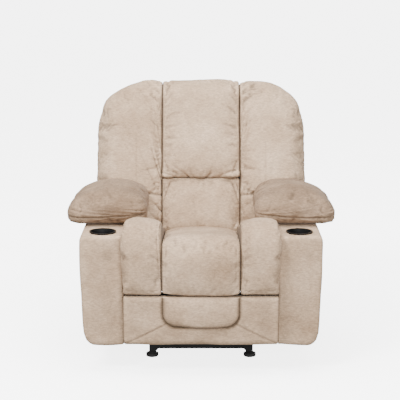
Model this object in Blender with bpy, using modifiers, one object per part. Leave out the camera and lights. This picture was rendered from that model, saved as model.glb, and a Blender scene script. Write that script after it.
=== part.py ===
"""Upholstered living-room recliner: steel base, pillow arms, folding footrest and hinged back.

Metres, +Z up, the sitter faces -Y. Every piece is one closed solid and one object.
Coordinates in the constants are measured from a design plane; ORIGIN_SHIFT_Y then
centres the finished chair on the origin.
"""
import math

import bmesh
import bpy
from mathutils import Matrix, Vector

# ---- overall ----
ORIGIN_SHIFT_Y = 0.0454      # moves the design so that front and rear are equally far from the origin
GAP = 0.0003                 # clearance between neighbouring pieces

# ---- base ----
FRAME_Z0, FRAME_Z1 = 0.032, 0.055
FRAME_W = 0.024
FOOT_X = 0.190
FOOT_R, FOOT_NECK_R = 0.024, 0.013
FOOT_H = 0.018
FRAME_FRONT_Y = -0.250
FRAME_REAR_Y = 0.290
CROSS_TUBE_R = 0.011
CROSS_TUBE_YS = (-0.080, 0.140)

# ---- arms ----
ARM_BOARD_X0, ARM_BOARD_X1 = 0.290, 0.305
ARM_OUTER_X = 0.450
ARM_FRONT_Y, ARM_REAR_Y = -0.440, 0.300
ARM_Z0, ARM_Z1 = 0.100, 0.520
ARM_SLOPE_Y, ARM_SLOPE_Z = 0.130, 0.400     # the rear of the top slopes away under the reclining back
PAD_X0, PAD_X1 = 0.212, 0.510
PAD_FRONT_Y = -0.270
PAD_TOP_Z = 0.668
CUP_X, CUP_Y = 0.368, -0.360
CUP_R, CUP_RIM_R, CUP_DEPTH, CUP_WALL = 0.044, 0.050, 0.070, 0.0025

# ---- release handle, on the arm at the sitter's right hand ----
HANDLE_Y, HANDLE_Z = -0.160, 0.350
HANDLE_LEN, HANDLE_H = 0.130, 0.080
HANDLE_DEPTH = 0.034
HANDLE_WALL = 0.005
HANDLE_PIN_R = 0.003

# ---- seat ----
PLATE_X0, PLATE_X1 = 0.262, 0.266
SEAT_HALF_CENTRE = 0.1430
SEAT_HALF = 0.2870
SEAT_FRONT_Y = -0.500
SEAT_BOTTOM_Z = 0.3055
RAIL_Z0, RAIL_Z1 = 0.315, 0.345

# ---- footrest linkage, one side, in the YZ plane ----
LINK_T = 0.004
LINK_HALF_W = 0.011
PIN_R = 0.004
PIN_HOLE_R = 0.0043          # running fit at the true pivots
OPEN_HOLE_R = 0.0064         # clearance where the closed linkage is opened
X_LINK_A, X_LINK_C, X_LINK_B, X_LINK_D = 0.256, 0.250, 0.244, 0.238
P1 = (-0.2714, 0.2538)       # link A on the side plate
P2 = (-0.3282, 0.2815)       # link B on the side plate
J1 = (-0.1560, 0.1016)       # link A to link C
J2 = (-0.4136, 0.2456)       # link C to the footrest bracket
K_ALONG, K_ACROSS = 0.0618, -0.0017      # link B's far pivot, measured on link C from J1
E_ALONG, E_ACROSS = 0.1898, -0.0178      # link D's near pivot, measured on link B from P2
Q_OFFSET = (0.0335, 0.0118)              # link D's far pivot, from J2
TORQUE_TUBE_R = 0.009

# ---- footrest ----
PANEL_HALF = 0.287
PANEL_Z0, PANEL_Z1 = 0.114, 0.302
TONGUE_HALF = 0.141
TONGUE_Z0 = 0.187
BOARD_Y0, BOARD_Y1 = -0.4577, -0.4445
PANEL_FRONT_Y = -0.4850
TONGUE_FRONT_Y = -0.4930

# ---- back ----
BACK_PIVOT = (0.100, 0.280)
BACK_FOOT = (0.017, 0.440)   # lower front edge of the back cushions
LEAN = math.radians(18.3)
BACK_LEN = 0.623             # along the lean, foot to crown
SEAM_S = 0.221               # lumbar to headrest
CENTRE_HALF = 0.158
WING_LOW_X, WING_X = 0.262, 0.430
WING_STEP_S = 0.112          # where the wing widens above the arm
CUSHION_D = 0.120            # cushion thickness in front of the frame
CROWN_D = 0.235              # depth of the roll over the top
FRAME_D0, FRAME_D1 = 0.1235, 0.1435
SHELL_D0 = 0.1450
SHELL_FOOT_S = -0.100
# X, lower end and drop from the crown of each section of a back wing
WING_STATIONS = (
    (CENTRE_HALF + GAP, 0.0, 0.010), (CENTRE_HALF + 0.02, 0.0, 0.003), (WING_LOW_X, 0.0, 0.010),
    (WING_LOW_X + 0.001, WING_STEP_S, 0.010), (0.340, WING_STEP_S, 0.022), (0.380, WING_STEP_S, 0.048),
    (0.410, WING_STEP_S + 0.004, 0.090), (WING_X, WING_STEP_S + 0.020, 0.160),
)

SIDES = (("left", 1.0), ("right", -1.0))

BEIGE = (0.60, 0.50, 0.41)
BEIGE_DARK = (0.47, 0.38, 0.30)
BLACK = (0.020, 0.020, 0.022)
STEEL = (0.045, 0.045, 0.048)
ZINC = (0.52, 0.52, 0.50)
PINE = (0.62, 0.46, 0.28)
FELT = (0.10, 0.09, 0.085)


def clear_scene():
    for obj in list(bpy.data.objects):
        bpy.data.objects.remove(obj, do_unlink=True)


def collection(name):
    coll = bpy.data.collections.new(name)
    bpy.context.scene.collection.children.link(coll)
    return coll


clear_scene()
CHAIR = collection("recliner")
CUTTERS = collection("cutters")


def material(name, colour, roughness, metallic=0.0):
    mat = bpy.data.materials.new(name)
    mat.use_nodes = True
    shader = mat.node_tree.nodes["Principled BSDF"]
    shader.inputs["Base Color"].default_value = (*colour, 1.0)
    shader.inputs["Roughness"].default_value = roughness
    shader.inputs["Metallic"].default_value = metallic
    return mat


LOOKS = {
    "fabric": (BEIGE, 0.95, 0.0),
    "fabric_dark": (BEIGE_DARK, 0.95, 0.0),
    "black_steel": (STEEL, 0.45, 1.0),
    "zinc": (ZINC, 0.35, 1.0),
    "black_plastic": (BLACK, 0.35, 0.0),
    "pine": (PINE, 0.70, 0.0),
    "felt": (FELT, 0.95, 0.0),
}


def publish(name, mesh, look, pivot=(0.0, 0.0), smooth=False, target=CHAIR):
    """Make an object whose origin is at the (Y, Z) pivot and whose mesh stays where it was drawn."""
    origin = Vector((0.0, pivot[0], pivot[1]))
    for vertex in mesh.vertices:
        vertex.co -= origin
    obj = bpy.data.objects.new(name, mesh)
    obj.location = origin + Vector((0.0, ORIGIN_SHIFT_Y, 0.0))
    mesh.materials.append(material(name, *LOOKS[look]))
    for face in mesh.polygons:
        face.use_smooth = smooth
    target.objects.link(obj)
    return obj


def mesh_from(verts, faces, name):
    mesh = bpy.data.meshes.new(name)
    mesh.from_pydata([tuple(v) for v in verts], [], faces)
    bm = bmesh.new()
    bm.from_mesh(mesh)
    bmesh.ops.recalc_face_normals(bm, faces=bm.faces)
    bm.to_mesh(mesh)
    bm.free()
    return mesh


def loft(name, rings):
    """Join closed rings that have the same number of points, and cap both ends."""
    count = len(rings[0])
    verts = [point for ring in rings for point in ring]
    faces = []
    for row in range(len(rings) - 1):
        for i in range(count):
            j = (i + 1) % count
            a, b = row * count, (row + 1) * count
            faces.append((a + i, a + j, b + j, b + i))
    faces.append(tuple(reversed(range(count))))
    last = (len(rings) - 1) * count
    faces.append(tuple(range(last, last + count)))
    return mesh_from(verts, faces, name)


def extrude_x(name, outline, x0, x1):
    return loft(name, [[(x, y, z) for y, z in outline] for x in (x0, x1)])


def extrude_y(name, outline, y0, y1):
    return loft(name, [[(x, y, z) for x, z in outline] for y in (y0, y1)])


def block(name, low, high):
    outline = [(low[1], low[2]), (high[1], low[2]), (high[1], high[2]), (low[1], high[2])]
    return extrude_x(name, outline, low[0], high[0])


def circle(centre, radius, sides):
    angles = [2 * math.pi * i / sides for i in range(sides)]
    return [(centre[0] + radius * math.cos(a), centre[1] + radius * math.sin(a)) for a in angles]


def rod_x(name, x0, x1, centre, radius, sides=32):
    return extrude_x(name, circle(centre, radius, sides), x0, x1)


def rod_y(name, y0, y1, centre, radius, sides=32):
    return extrude_y(name, circle(centre, radius, sides), y0, y1)


def turned(name, profile, centre, steps=48):
    """Spin an (r, z) profile that starts and ends on the axis about a vertical line."""
    verts, faces = [], []
    rows = []
    for radius, z in profile:
        if radius < 1e-6:
            rows.append([len(verts)])
            verts.append((centre[0], centre[1], z))
            continue
        rows.append(list(range(len(verts), len(verts) + steps)))
        for i in range(steps):
            angle = 2 * math.pi * i / steps
            verts.append((centre[0] + radius * math.cos(angle), centre[1] + radius * math.sin(angle), z))
    for lower, upper in zip(rows, rows[1:]):
        for i in range(steps):
            j = (i + 1) % steps
            if len(lower) == 1:
                faces.append((lower[0], upper[j], upper[i]))
            elif len(upper) == 1:
                faces.append((lower[i], lower[j], upper[0]))
            else:
                faces.append((lower[i], lower[j], upper[j], upper[i]))
    return mesh_from(verts, faces, name)


def bevel(obj, width, segments=3, limit=35.0):
    mod = obj.modifiers.new("Bevel", "BEVEL")
    mod.width = width
    mod.segments = segments
    mod.limit_method = "ANGLE"
    mod.angle_limit = math.radians(limit)
    mod.use_clamp_overlap = True
    return mod


def combine(obj, mesh, operation):
    """Union or cut with a helper solid kept in the cutters collection."""
    cutter = publish(f"{obj.name}_tool_{len(obj.modifiers)}", mesh, "zinc", target=CUTTERS)
    cutter.hide_render = True
    cutter.display_type = "WIRE"
    mod = obj.modifiers.new(operation.title(), "BOOLEAN")
    mod.operation = operation
    mod.solver = "EXACT"
    mod.object = cutter
    return mod


def mirrored(mesh, sign):
    """Right-hand copies are drawn from the left-hand ones."""
    if sign < 0:
        for vertex in mesh.vertices:
            vertex.co.x = -vertex.co.x
        mesh.flip_normals()
    return mesh


def span(sign, x0, x1):
    """The two X limits of a piece on one side, smallest first."""
    return (x0, x1) if sign > 0 else (-x1, -x0)


# ------------------------------------------------------------------ base

def build_base():
    for place, y in (("front", FRAME_FRONT_Y), ("rear", FRAME_REAR_Y)):
        half = FOOT_X + FRAME_W / 2
        leg = FRAME_W
        outline = [
            (-half, FOOT_H + GAP), (-half + leg, FOOT_H + GAP), (-half + leg + 0.012, FRAME_Z0),
            (half - leg - 0.012, FRAME_Z0), (half - leg, FOOT_H + GAP), (half, FOOT_H + GAP),
            (half, FRAME_Z1), (-half, FRAME_Z1),
        ]
        mesh = extrude_y(f"base_{place}_frame", outline, y - FRAME_W / 2, y + FRAME_W / 2)
        bevel(publish(f"base_{place}_frame", mesh, "black_steel"), 0.002, 2)
        for side, sign in SIDES:
            profile = [(0, 0), (FOOT_R - 0.002, 0), (FOOT_R, 0.002), (FOOT_R, 0.012), (FOOT_NECK_R, FOOT_H),
                       (0, FOOT_H)]
            foot = turned(f"foot_{place}_{side}", profile, (sign * FOOT_X, y), 24)
            publish(f"foot_{place}_{side}", foot, "black_plastic", smooth=False)
    y0 = FRAME_FRONT_Y + FRAME_W / 2 + GAP
    y1 = FRAME_REAR_Y - FRAME_W / 2 - GAP
    for side, sign in SIDES:
        x0, x1 = span(sign, FOOT_X - FRAME_W / 2, FOOT_X + FRAME_W / 2)
        rail = block(f"base_rail_{side}", (x0, y0, FRAME_Z0), (x1, y1, FRAME_Z1))
        bevel(publish(f"base_rail_{side}", rail, "black_steel"), 0.002, 2)
    for place, y in zip(("front", "rear"), CROSS_TUBE_YS):
        centre = (y, FRAME_Z1 + GAP + CROSS_TUBE_R)
        half = PLATE_X0 - GAP
        tube = rod_x(f"cross_tube_{place}", -half, half, centre, CROSS_TUBE_R, 24)
        publish(f"cross_tube_{place}", tube, "black_steel", smooth=False)


# ------------------------------------------------------------------ arms

def arm_outline(inset):
    return [
        (ARM_FRONT_Y + inset, ARM_Z0 + inset), (ARM_REAR_Y - inset, ARM_Z0 + inset),
        (ARM_REAR_Y - inset, ARM_SLOPE_Z - inset), (ARM_SLOPE_Y - 0.4 * inset, ARM_Z1 - inset),
        (ARM_FRONT_Y + inset, ARM_Z1 - inset),
    ]


def build_arms():
    for side, sign in SIDES:
        x0, x1 = span(sign, ARM_BOARD_X0, ARM_BOARD_X1)
        board = extrude_x(f"arm_board_{side}", arm_outline(0.010), x0, x1)
        bevel(publish(f"arm_board_{side}", board, "pine"), 0.0015, 2)

        x0, x1 = span(sign, ARM_BOARD_X1 + GAP, ARM_OUTER_X)
        box = extrude_x(f"arm_cover_{side}", arm_outline(0.0), x0, x1)
        cover = publish(f"arm_cover_{side}", box, "fabric")
        bevel(cover, 0.016, 3)
        well = (CUP_R + CUP_WALL + GAP, ARM_Z1 - CUP_DEPTH - 0.004)
        profile = [(0, well[1]), (well[0], well[1]), (well[0], ARM_Z1 + 0.02), (0, ARM_Z1 + 0.02)]
        combine(cover, turned("cup_well", profile, (sign * CUP_X, CUP_Y), 40), "DIFFERENCE")
        if sign < 0:
            half_y, half_z = HANDLE_LEN / 2 + GAP, HANDLE_H / 2 + GAP
            recess = block(
                "handle_recess",
                (-ARM_OUTER_X - 0.01, HANDLE_Y - half_y, HANDLE_Z - half_z),
                (-ARM_OUTER_X + HANDLE_DEPTH + GAP, HANDLE_Y + half_y, HANDLE_Z + half_z),
            )
            combine(cover, recess, "DIFFERENCE")

        z0 = ARM_Z1 + GAP
        outline = [
            (PAD_FRONT_Y, z0), (back_front_y(z0) - 0.006, z0),
            (back_front_y(PAD_TOP_Z) - 0.006, PAD_TOP_Z), (PAD_FRONT_Y, PAD_TOP_Z - 0.006),
        ]
        x0, x1 = span(sign, PAD_X0, PAD_X1)
        pad = publish(f"arm_pad_{side}", extrude_x(f"arm_pad_{side}", outline, x0, x1), "fabric_dark")
        bevel(pad, 0.040, 4)

        top, rim = ARM_Z1 + GAP, 0.003
        outer = CUP_R + CUP_WALL
        profile = [
            (0, top - CUP_DEPTH), (outer, top - CUP_DEPTH), (outer, top), (CUP_RIM_R, top),
            (CUP_RIM_R, top + rim), (CUP_R, top + rim), (CUP_R, top - CUP_DEPTH + CUP_WALL),
            (0, top - CUP_DEPTH + CUP_WALL),
        ]
        cup = turned(f"cup_holder_{side}", profile, (sign * CUP_X, CUP_Y), 40)
        publish(f"cup_holder_{side}", cup, "black_plastic")


def build_handle():
    x_face = -ARM_OUTER_X
    y0, y1 = HANDLE_Y - HANDLE_LEN / 2, HANDLE_Y + HANDLE_LEN / 2
    z0, z1 = HANDLE_Z - HANDLE_H / 2, HANDLE_Z + HANDLE_H / 2
    wall = HANDLE_WALL
    body = block("handle_bezel", (x_face, y0, z0), (x_face + HANDLE_DEPTH, y1, z1))
    bezel = publish("handle_bezel", body, "black_plastic")
    lip = block("bezel_lip", (x_face - 0.003, y0 - 0.008, z0 - 0.008), (x_face - GAP, y1 + 0.008, z1 + 0.008))
    neck = block("bezel_neck", (x_face - 0.002, y0, z0), (x_face + 0.002, y1, z1))
    hollow = block("bezel_hollow", (x_face - 0.01, y0 + wall, z0 + wall),
                   (x_face + HANDLE_DEPTH - wall, y1 - wall, z1 - wall))
    combine(bezel, lip, "UNION")
    combine(bezel, neck, "UNION")
    combine(bezel, hollow, "DIFFERENCE")

    pin_x, pin_z = x_face + 0.010, z1 - wall - 0.009
    pin = rod_y("handle_pin", y0 + wall + GAP, y1 - wall - GAP, (pin_x, pin_z), HANDLE_PIN_R, 20)
    publish("handle_pin", pin, "zinc")
    ends = (y0 + wall + 2 * GAP, y1 - wall - 2 * GAP)
    outline = [
        (pin_x - 0.0075, pin_z + 0.004), (pin_x - 0.003, pin_z + 0.0075), (pin_x + 0.004, pin_z + 0.0065),
        (pin_x + 0.0065, pin_z - 0.001), (pin_x + 0.001, pin_z - 0.010), (pin_x - 0.0035, pin_z - 0.034),
        (pin_x - 0.0085, pin_z - 0.036),
    ]
    flap = extrude_y("release_handle", outline, *ends)
    handle = publish("release_handle", flap, "black_plastic", pivot=(HANDLE_Y, pin_z))
    handle.data.transform(Matrix.Translation((-pin_x, 0.0, 0.0)))
    handle.location.x = pin_x
    bore = rod_y("handle_bore", y0, y1, (pin_x, pin_z), HANDLE_PIN_R + GAP, 20)
    combine(handle, bore, "DIFFERENCE")


# ------------------------------------------------------------------ seat

def build_seat():
    half = PLATE_X0 - GAP
    front = block("seat_rail_front", (-half, -0.4535, RAIL_Z0), (half, -0.425, RAIL_Z1))
    bevel(publish("seat_rail_front", front, "pine"), 0.006, 3)
    rear = block("seat_rail_rear", (-half, 0.010, RAIL_Z0), (half, 0.040, RAIL_Z1))
    bevel(publish("seat_rail_rear", rear, "pine"), 0.002, 2)
    for side, sign in SIDES:
        x0, x1 = span(sign, 0.232, PLATE_X0 - GAP)
        rail = block(f"seat_rail_{side}", (x0, -0.425 + GAP, RAIL_Z0), (x1, 0.010 - GAP, RAIL_Z1))
        bevel(publish(f"seat_rail_{side}", rail, "pine"), 0.002, 2)

        x0, x1 = span(sign, PLATE_X0, PLATE_X1)
        outline = [
            (-0.360, 0.235), (-0.140, 0.150), (-0.110, 0.056), (0.160, 0.056), (0.160, 0.300),
            (0.130, 0.345), (-0.440, 0.345), (-0.440, 0.306),
        ]
        plate = publish(f"side_plate_{side}", extrude_x(f"side_plate_{side}", outline, x0, x1), "black_steel")
        wide = span(sign, PLATE_X0 - 0.01, PLATE_X1 + 0.01)
        for spot in (P1, P2, BACK_PIVOT):
            combine(plate, rod_x("pivot_hole", *wide, spot, PIN_HOLE_R), "DIFFERENCE")

        x0, x1 = span(sign, PLATE_X1 + GAP, ARM_BOARD_X0 - GAP)
        mount = block(f"arm_mount_{side}", (x0, -0.090, 0.110), (x1, 0.060, 0.190))
        publish(f"arm_mount_{side}", mount, "pine")

    deck_half = 0.232 - GAP
    deck = block("seat_deck", (-deck_half, -0.425 + GAP, RAIL_Z1 - 0.004), (deck_half, 0.010 - GAP, RAIL_Z1))
    publish("seat_deck", deck, "felt")

    top_rear = RAIL_Z1 + 0.098
    crown = [
        (SEAT_FRONT_Y, SEAT_BOTTOM_Z), (-0.4555, SEAT_BOTTOM_Z), (-0.4555, RAIL_Z1 + GAP),
        (0.045, RAIL_Z1 + GAP), (0.014, top_rear), (-0.100, 0.470), (-0.300, 0.505),
        (-0.380, 0.515), (-0.440, 0.518), (-0.480, 0.500), (SEAT_FRONT_Y, 0.460),
    ]
    centre = extrude_x("seat_centre_cushion", crown, -SEAT_HALF_CENTRE, SEAT_HALF_CENTRE)
    bevel(publish("seat_centre_cushion", centre, "fabric"), 0.004, 2)
    bolster = [
        (-0.472, SEAT_BOTTOM_Z), (-0.4555, SEAT_BOTTOM_Z), (-0.4555, RAIL_Z1 + GAP),
        (0.045, RAIL_Z1 + GAP), (0.010, top_rear + 0.010), (-0.100, 0.485), (-0.270, 0.515),
        (-0.340, 0.550), (-0.400, 0.563), (-0.450, 0.548), (-0.480, 0.500), (-0.486, 0.420),
    ]
    for side, sign in SIDES:
        x0, x1 = span(sign, SEAT_HALF_CENTRE + GAP, SEAT_HALF)
        mesh = extrude_x(f"seat_bolster_{side}", bolster, x0, x1)
        bevel(publish(f"seat_bolster_{side}", mesh, "fabric"), 0.006, 2)


# ------------------------------------------------------------------ footrest

def on_link(start, end, along, across):
    """A point measured along a link from its start and, positive, towards its left when facing its end."""
    length = math.dist(start, end)
    uy, uz = (end[0] - start[0]) / length, (end[1] - start[1]) / length
    return (start[0] + along * uy + across * uz, start[1] + along * uz - across * uy)


K = on_link(J1, J2, K_ALONG, K_ACROSS)
E = on_link(P2, K, E_ALONG, E_ACROSS)
Q = (J2[0] + Q_OFFSET[0], J2[1] + Q_OFFSET[1])


def strap(name, side, sign, x_inner, spots, pivot, holes, pins):
    """A flat link around a chain of points, with round holes and with pins standing out of it."""
    outer = span(sign, x_inner, x_inner + LINK_T)
    wide = span(sign, x_inner - 0.003, x_inner + LINK_T + 0.003)
    full = f"{name}_{side}"
    first, last = spots[0], spots[1]
    obj = publish(full, extrude_x(full, stadium(first, last), *outer), "zinc", pivot=pivot)
    for extra in spots[2:]:
        combine(obj, extrude_x("arm", stadium(first, extra), *outer), "UNION")
    for spot, radius in holes:
        combine(obj, rod_x("hole", *wide, spot, radius), "DIFFERENCE")
    for spot, x0, x1 in pins:
        combine(obj, rod_x("pin", *span(sign, x0, x1), spot, PIN_R), "UNION")
    return obj


def stadium(start, end, steps=9):
    heading = math.atan2(end[1] - start[1], end[0] - start[0])
    outline = []
    for centre, turn in ((end, -math.pi / 2), (start, math.pi / 2)):
        for i in range(steps):
            angle = heading + turn + math.pi * i / (steps - 1)
            reach = (LINK_HALF_W * math.cos(angle), LINK_HALF_W * math.sin(angle))
            outline.append((centre[0] + reach[0], centre[1] + reach[1]))
    return outline


def build_footrest():
    for side, sign in SIDES:
        strap("link_a", side, sign, X_LINK_A, (P1, J1), P1, [],
              [(P1, X_LINK_A + 0.001, PLATE_X1 + 0.002), (J1, X_LINK_C - 0.0012, X_LINK_A + 0.001)])
        strap("link_b", side, sign, X_LINK_B, (P2, K, E), P2, [(K, OPEN_HOLE_R)],
              [(P2, X_LINK_B + 0.001, PLATE_X1 + 0.002), (E, X_LINK_D - 0.0015, X_LINK_B + 0.001)])
        strap("link_c", side, sign, X_LINK_C, (J1, J2, K), J1, [(J1, PIN_HOLE_R)],
              [(J2, X_LINK_B - 0.0012, X_LINK_C + 0.001), (K, X_LINK_B - 0.0012, X_LINK_C + 0.001)])
        strap("link_d", side, sign, X_LINK_D, (E, Q), E, [(E, PIN_HOLE_R), (Q, OPEN_HOLE_R)], [])

        x0, x1 = span(sign, X_LINK_B, X_LINK_B + LINK_T)
        outline = [
            (BOARD_Y1 + GAP, 0.150), (-0.425, 0.150), (-0.400, 0.226), (-0.372, 0.243),
            (-0.368, 0.262), (-0.378, 0.271), (-0.420, 0.271), (BOARD_Y1 + GAP, 0.285),
        ]
        bracket = publish(f"footrest_bracket_{side}", extrude_x(f"footrest_bracket_{side}", outline, x0, x1),
                          "zinc", pivot=J2)
        flange = block("flange", (span(sign, 0.222, X_LINK_B + 0.001)[0], BOARD_Y1 + GAP, 0.150),
                       (span(sign, 0.222, X_LINK_B + 0.001)[1], BOARD_Y1 + 0.0035, 0.285))
        combine(bracket, flange, "UNION")
        wide = span(sign, X_LINK_B - 0.003, X_LINK_B + LINK_T + 0.003)
        combine(bracket, rod_x("hole", *wide, J2, PIN_HOLE_R), "DIFFERENCE")
        combine(bracket, rod_x("pin", *span(sign, X_LINK_D - 0.0015, X_LINK_B + 0.001), Q, PIN_R), "UNION")

    half = X_LINK_A - GAP
    tube = rod_x("torque_tube", -half, half, P1, TORQUE_TUBE_R, 24)
    publish("torque_tube", tube, "black_steel", pivot=P1)

    board = block("footrest_board", (-0.268, BOARD_Y0, PANEL_Z0 + 0.010), (0.268, BOARD_Y1, PANEL_Z1 - 0.006))
    bevel(publish("footrest_board", board, "pine", pivot=J2), 0.0015, 2)
    pad = block("footrest_pad", (-PANEL_HALF, PANEL_FRONT_Y, PANEL_Z0),
                (PANEL_HALF, BOARD_Y0 - GAP, PANEL_Z1))
    bevel(publish("footrest_pad", pad, "fabric", pivot=J2), 0.010, 3)
    tongue = block("footrest_tongue", (-TONGUE_HALF, TONGUE_FRONT_Y, TONGUE_Z0),
                   (TONGUE_HALF, PANEL_FRONT_Y - GAP, PANEL_Z1))
    bevel(publish("footrest_tongue", tongue, "fabric", pivot=J2), 0.003, 2)


# ------------------------------------------------------------------ back

def back_front_y(z):
    """Y of the back's front plane at a height."""
    return BACK_FOOT[0] + (z - BACK_FOOT[1]) * math.tan(LEAN)


def leaned(s, d):
    """From distance up the back and depth behind its front plane to (Y, Z)."""
    return (
        BACK_FOOT[0] + s * math.sin(LEAN) + d * math.cos(LEAN),
        BACK_FOOT[1] + s * math.cos(LEAN) - d * math.sin(LEAN),
    )


def back_solid(name, x0, x1, box, look, width=0.002, segments=2):
    s0, s1, d0, d1 = box
    outline = [leaned(s0, d0), leaned(s0, d1), leaned(s1, d1), leaned(s1, d0)]
    obj = publish(name, extrude_x(name, outline, x0, x1), look, pivot=BACK_PIVOT)
    if width:
        bevel(obj, width, segments)
    return obj


def crown_ring(x, s0, top):
    """The section of a cushion that rolls over the top of the back, ending at the given height."""
    pairs = [
        (s0, 0.006), (s0 + 0.020, 0.0), (top - 0.055, 0.0), (top - 0.022, 0.016), (top - 0.004, 0.055),
        (top, 0.115), (top - 0.012, 0.180), (top - 0.045, 0.222), (top - 0.090, CROWN_D),
        (top - 0.120, CROWN_D - 0.010), (top - 0.125, CUSHION_D), (s0, CUSHION_D),
    ]
    return [(x, *leaned(s, d)) for s, d in pairs]


def build_back():
    top = BACK_LEN
    rings = [crown_ring(x, SEAM_S + GAP, top - drop) for x, drop in (
        (-CENTRE_HALF, 0.006), (-CENTRE_HALF + 0.012, 0.0), (CENTRE_HALF - 0.012, 0.0), (CENTRE_HALF, 0.006))]
    publish("headrest_cushion", loft("headrest_cushion", rings), "fabric", pivot=BACK_PIVOT, smooth=False)
    back_solid("lumbar_cushion", -CENTRE_HALF, CENTRE_HALF, (0.0, SEAM_S - GAP, 0.0, CUSHION_D),
               "fabric", 0.014, 3)

    for side, sign in SIDES:
        rings = [crown_ring(x, s0, top - drop) for x, s0, drop in WING_STATIONS]
        mesh = mirrored(loft(f"back_wing_{side}", rings), sign)
        publish(f"back_wing_{side}", mesh, "fabric", pivot=BACK_PIVOT)

        x0, x1 = span(sign, 0.222, 0.250)
        back_solid(f"back_post_{side}", x0, x1, (-0.060, 0.455, FRAME_D0, FRAME_D1), "pine")

        x0, x1 = span(sign, PLATE_X1 + 0.0025, PLATE_X1 + 0.0065)
        foot = BACK_PIVOT
        tip = leaned(0.130, (FRAME_D0 + FRAME_D1) / 2)
        knee = leaned(-0.030, (FRAME_D0 + FRAME_D1) / 2)
        upper = extrude_x(f"back_bracket_{side}", stadium(knee, tip), x0, x1)
        bracket = publish(f"back_bracket_{side}", upper, "black_steel", pivot=BACK_PIVOT)
        combine(bracket, extrude_x("lower", stadium(foot, knee), x0, x1), "UNION")
        combine(bracket, rod_x("pin", *span(sign, PLATE_X0 - 0.002, PLATE_X1 + 0.0035), foot, PIN_R), "UNION")
        for s in (0.010, 0.100):
            spot = leaned(s, (FRAME_D0 + FRAME_D1) / 2)
            bolt = rod_x("bolt", *span(sign, 0.250 + GAP, PLATE_X1 + 0.004), spot, 0.005, 20)
            combine(bracket, bolt, "UNION")

    back_solid("back_rail_top", -0.222 + GAP, 0.222 - GAP, (0.425, 0.455, FRAME_D0, FRAME_D1), "pine")
    back_solid("back_rail_low", -0.222 + GAP, 0.222 - GAP, (-0.020, 0.020, FRAME_D0, FRAME_D1), "pine")
    back_solid("back_support", -0.222 + GAP, 0.222 - GAP,
               (0.020 + GAP, 0.425 - GAP, FRAME_D0 + 0.001, FRAME_D0 + 0.004), "felt", 0)
    half = [shell_ring(0.0, SHELL_FOOT_S, SHELL_D0, 0.003)]
    half += [shell_ring(WING_LOW_X - 0.003, SHELL_FOOT_S, SHELL_D0, 0.010)]
    half += [shell_ring(WING_LOW_X - 0.001, WING_STEP_S, SHELL_D0, 0.010)]
    half += [shell_ring(0.2750, WING_STEP_S, SHELL_D0, 0.012)]
    half += [shell_ring(0.2760, WING_STEP_S, CUSHION_D + GAP, 0.012)]
    half += [shell_ring(x, s0, CUSHION_D + GAP, drop) for x, s0, drop in WING_STATIONS[4:]]
    other = [[(-x, y, z) for x, y, z in ring] for ring in half[:0:-1]]
    panel = loft("back_outer_panel", other + half)
    shell = publish("back_outer_panel", panel, "fabric_dark", pivot=BACK_PIVOT)
    bevel(shell, 0.003, 2, 50.0)


def shell_ring(x, s0, d0, drop):
    """A section of the outer back: it fills the depth behind the cushions, up to the roll."""
    top = BACK_LEN - drop - 0.133
    rise = min(0.090, 0.8 * (top - s0))
    pairs = [(s0, d0), (s0, d0 + 0.018), (s0 + rise, CROWN_D - 0.014), (top, CROWN_D - 0.012), (top, d0)]
    return [(x, *leaned(s, d)) for s, d in pairs]


build_base()
build_arms()
build_handle()
build_seat()
build_footrest()
build_back()
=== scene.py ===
"""Visual model of the upholstered recliner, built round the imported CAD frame."""
import math

import bmesh
import bpy
import numpy as np
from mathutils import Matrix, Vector


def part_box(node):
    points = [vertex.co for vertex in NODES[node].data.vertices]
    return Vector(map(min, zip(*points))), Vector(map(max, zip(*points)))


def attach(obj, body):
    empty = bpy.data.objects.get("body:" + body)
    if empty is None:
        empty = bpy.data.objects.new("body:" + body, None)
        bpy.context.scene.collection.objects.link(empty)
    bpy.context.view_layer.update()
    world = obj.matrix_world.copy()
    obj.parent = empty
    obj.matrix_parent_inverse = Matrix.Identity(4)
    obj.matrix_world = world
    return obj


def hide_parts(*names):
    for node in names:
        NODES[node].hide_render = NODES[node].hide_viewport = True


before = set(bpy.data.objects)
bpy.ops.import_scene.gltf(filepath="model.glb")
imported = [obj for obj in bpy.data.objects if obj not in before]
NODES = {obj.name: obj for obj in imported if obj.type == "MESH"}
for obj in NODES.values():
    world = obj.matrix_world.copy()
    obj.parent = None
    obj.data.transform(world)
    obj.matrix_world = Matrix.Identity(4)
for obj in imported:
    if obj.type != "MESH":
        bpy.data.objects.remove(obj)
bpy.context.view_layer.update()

SIDES = (("left", 1.0), ("right", -1.0))


def mid_y(node):
    low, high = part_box(node)
    return (low[1] + high[1]) / 2


# The design plane that the front foot frame was drawn 0.250 m in front of.
Y0 = mid_y("base_front_frame") + 0.250

# The back leans: s runs up it from the foot, d runs rearwards from its front plane.
LEAN = math.radians(18.3)
BACK_FOOT = (Y0 + 0.017, 0.440)


def leaned(points):
    """Y and Z of points that are given as (s, d) on the back."""
    p = np.asarray(points, float)
    s, d = p[:, 0], p[:, 1]
    return np.stack([BACK_FOOT[0] + s * math.sin(LEAN) + d * math.cos(LEAN),
                     BACK_FOOT[1] + s * math.cos(LEAN) - d * math.sin(LEAN)], 1)


def behind(points):
    """How far points lie behind the back's front plane; their last two columns are Y and Z."""
    y, z = points[:, -2] - BACK_FOOT[0], points[:, -1] - BACK_FOOT[1]
    return y * math.cos(LEAN) - z * math.sin(LEAN)


def up_back(points):
    """How far up the back points lie; their last two columns are Y and Z."""
    y, z = points[:, -2] - BACK_FOOT[0], points[:, -1] - BACK_FOOT[1]
    return y * math.sin(LEAN) + z * math.cos(LEAN)


def from_plane(corners):
    """Corners (y, z, radius) whose Y is given from the design plane."""
    return [(Y0 + y, z, radius) for y, z, radius in corners]


# ------------------------------------------------------------------ noise

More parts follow.
